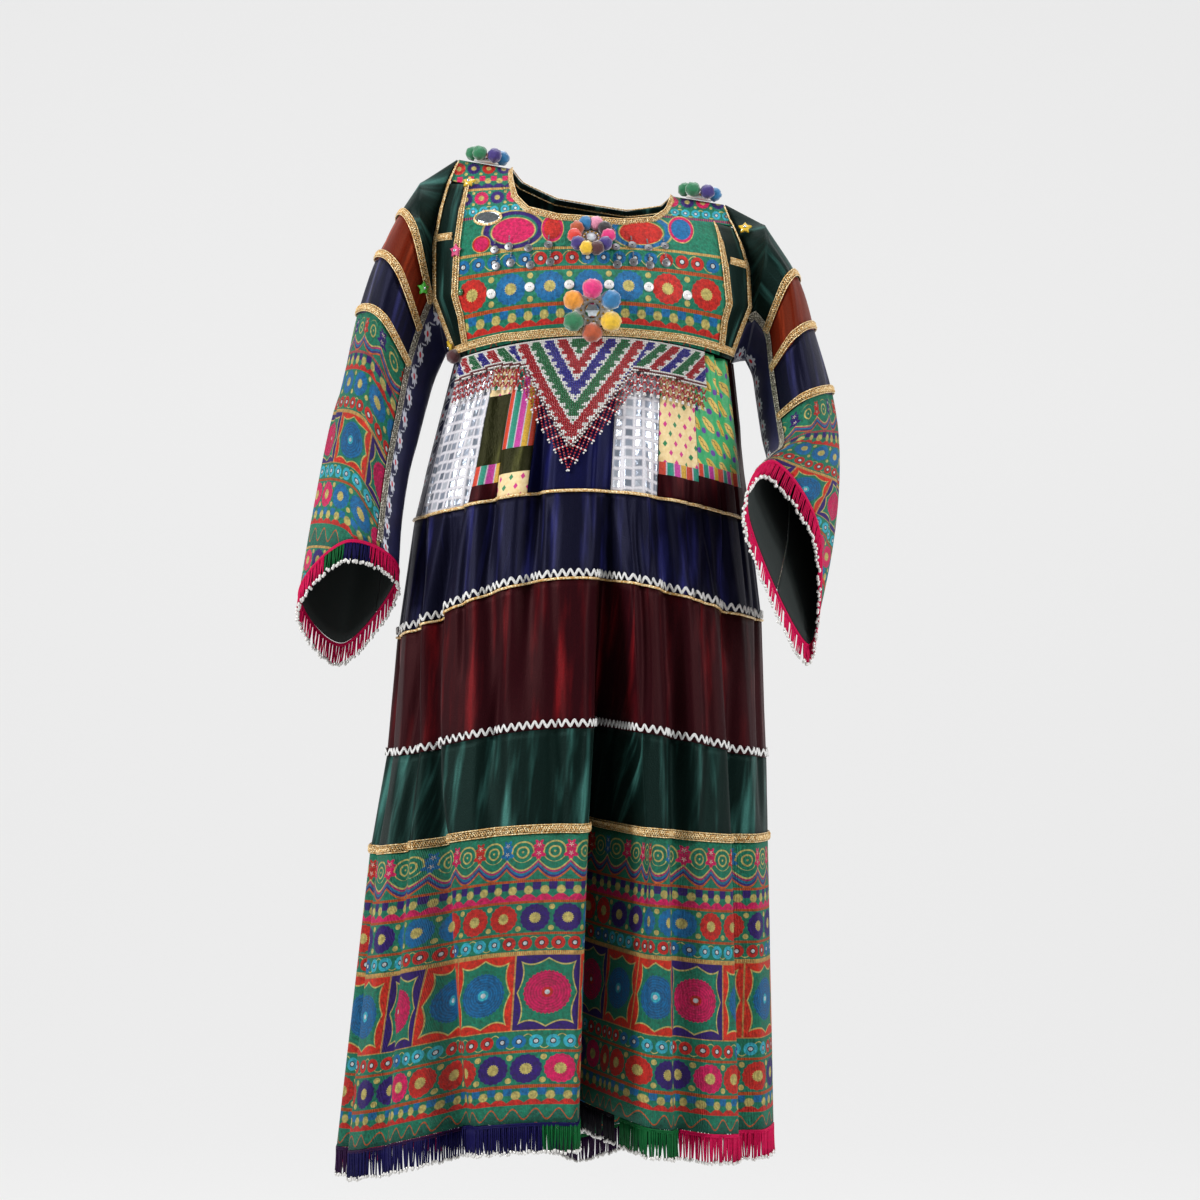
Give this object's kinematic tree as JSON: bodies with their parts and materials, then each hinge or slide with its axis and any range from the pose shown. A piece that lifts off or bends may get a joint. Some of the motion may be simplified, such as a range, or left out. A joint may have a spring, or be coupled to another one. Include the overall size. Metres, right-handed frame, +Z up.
{
  "type": "kuchi dress",
  "caption": "Worn kuchi dress with embroidered yoke, pieced bell sleeves, bead apron, gathered patchwork, velvet tiers, embroidered hem band and beaded fringe",
  "frame": {"origin": "between the shoulders, on the line of the shoulder seams, where the wearer holds the dress up", "axes": "+Z up, the front faces -Y, +X towards the wearer's left"},
  "size_m": [0.6155, 0.4405, 1.2018],
  "materials": {
    "beads": "glossy seed beads",
    "brocade": "satin brocade",
    "embroidered_cloth": "woven ground covered with chain stitch",
    "fringe_thread": "twisted thread with white bead ends",
    "gold_braid": "metal thread braid",
    "green_velvet": "velvet pile",
    "maroon_velvet": "velvet pile",
    "mirror_cloth": "shiny cloth with small mirror squares",
    "navy_velvet": "velvet pile",
    "olive_velvet": "crushed velvet",
    "pompom_wool": "wool",
    "rust_velvet": "velvet pile",
    "white_trim": "cotton ric-rac"
  },
  "bodies": {
    "root": {"bead_net": "beads", "bead_panel": "beads", "bodice_back": "green_velvet", "bodice_front": "embroidered_cloth", "braid_hem_band": "gold_braid", "braid_sleeve_left_cap": "gold_braid", "braid_sleeve_left_navy": "gold_braid", "braid_sleeve_left_rust": "gold_braid", "braid_sleeve_right_cap": "gold_braid", "braid_sleeve_right_navy": "gold_braid", "braid_sleeve_right_rust": "gold_braid", "fringe_cuff_left": "fringe_thread", "fringe_cuff_right": "fringe_thread", "fringe_hem_back_left": "fringe_thread", "fringe_hem_back_right": "fringe_thread", "fringe_hem_fold": "fringe_thread", "fringe_hem_green": "fringe_thread", "fringe_hem_left": "fringe_thread", "fringe_hem_middle": "fringe_thread", "fringe_hem_pink": "fringe_thread", "green_tier": "green_velvet", "hem_band": "embroidered_cloth", "maroon_tier": "maroon_velvet", "navy_tier": "navy_velvet", "patch_back_left": "maroon_velvet", "patch_back_middle_left": "brocade", "patch_back_middle_right": "olive_velvet", "patch_back_right": "navy_velvet", "patch_brocade": "brocade", "patch_cream": "brocade", "patch_mirror_left": "mirror_cloth", "patch_mirror_right": "mirror_cloth", "patch_olive": "olive_velvet", "patch_royal": "navy_velvet", "patch_side_left": "navy_velvet", "patch_side_right": "maroon_velvet", "patch_stripes": "brocade", "ricrac_maroon": "white_trim", "ricrac_navy": "white_trim", "rosette_neck": "pompom_wool", "rosette_shoulder_left": "pompom_wool", "rosette_shoulder_right": "pompom_wool", "rosette_waist": "pompom_wool", "side_panel_left": "green_velvet", "side_panel_right": "green_velvet", "sleeve_left_cap": "green_velvet", "sleeve_left_embroidered": "embroidered_cloth", "sleeve_left_gusset": "navy_velvet", "sleeve_left_navy": "navy_velvet", "sleeve_left_rust": "rust_velvet", "sleeve_right_cap": "green_velvet", "sleeve_right_embroidered": "embroidered_cloth", "sleeve_right_gusset": "navy_velvet", "sleeve_right_navy": "navy_velvet", "sleeve_right_rust": "rust_velvet"}
  },
  "joints": []
}
